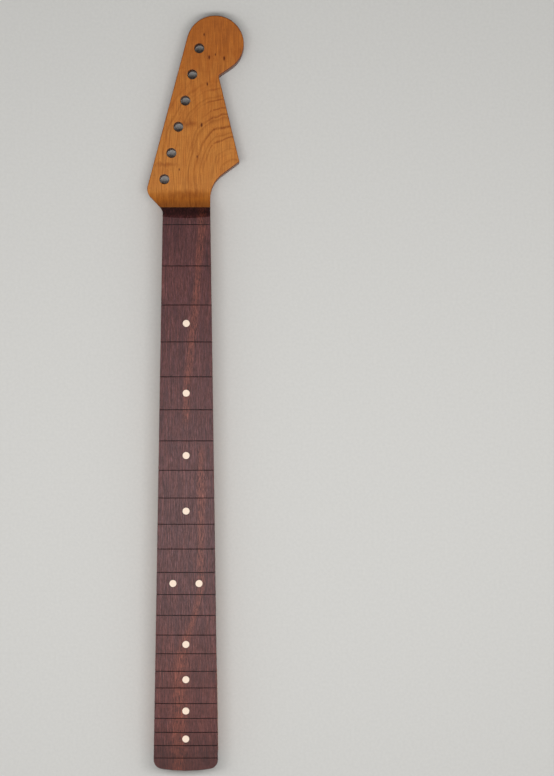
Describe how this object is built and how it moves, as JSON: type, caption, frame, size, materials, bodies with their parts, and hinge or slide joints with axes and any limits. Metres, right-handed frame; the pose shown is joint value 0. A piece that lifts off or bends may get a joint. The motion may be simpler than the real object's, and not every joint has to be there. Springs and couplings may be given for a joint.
{
  "type": "electric guitar neck",
  "caption": "Bolt-on electric guitar neck: maple shaft and in-line headstock, slotted unfretted rosewood fretboard with dot inlays, and a truss rod turned at the heel.",
  "frame": {"origin": "on the flat back of the heel, midway between the four neck screw holes", "axes": "+Y along the neck from the heel to the headstock, +Z out of the fretboard, +X to the treble side; the heel's and the headstock's backs lie on z = 0"},
  "size_m": [0.0851, 0.6634, 0.0255],
  "materials": {
    "roasted_maple": "satin, oiled roasted flame maple",
    "rosewood": "satin, open-grained rosewood",
    "clay_dot": "cream clay-coloured inlay, level with the wood",
    "rod_steel": "plain steel",
    "rod_brass": "plain brass"
  },
  "bodies": {
    "neck": {"maple_neck": "roasted_maple", "fretboard": "rosewood", "face_dot_3": "clay_dot", "face_dot_5": "clay_dot", "face_dot_7": "clay_dot", "face_dot_9": "clay_dot", "face_dot_15": "clay_dot", "face_dot_17": "clay_dot", "face_dot_19": "clay_dot", "face_dot_21": "clay_dot", "face_dot_12_bass": "clay_dot", "face_dot_12_treble": "clay_dot", "side_dot_3": "clay_dot", "side_dot_5": "clay_dot", "side_dot_7": "clay_dot", "side_dot_9": "clay_dot", "side_dot_15": "clay_dot", "side_dot_17": "clay_dot", "side_dot_19": "clay_dot", "side_dot_21": "clay_dot", "side_dot_12_lower": "clay_dot", "side_dot_12_upper": "clay_dot", "truss_heel_block": "rod_brass", "truss_anchor_block": "rod_brass", "truss_flat_bar": "rod_steel"},
    "truss_rod": {"truss_threaded_rod": "rod_steel", "truss_adjusting_nut": "rod_steel"}
  },
  "joints": [
    {"name": "truss_rod_turn", "type": "hinge", "parent": "neck", "child": "truss_rod", "pos_m": [0, -0.0359, 0.01225], "axis": [0, 1, 0], "range_deg": [-360, 360]}
  ]
}
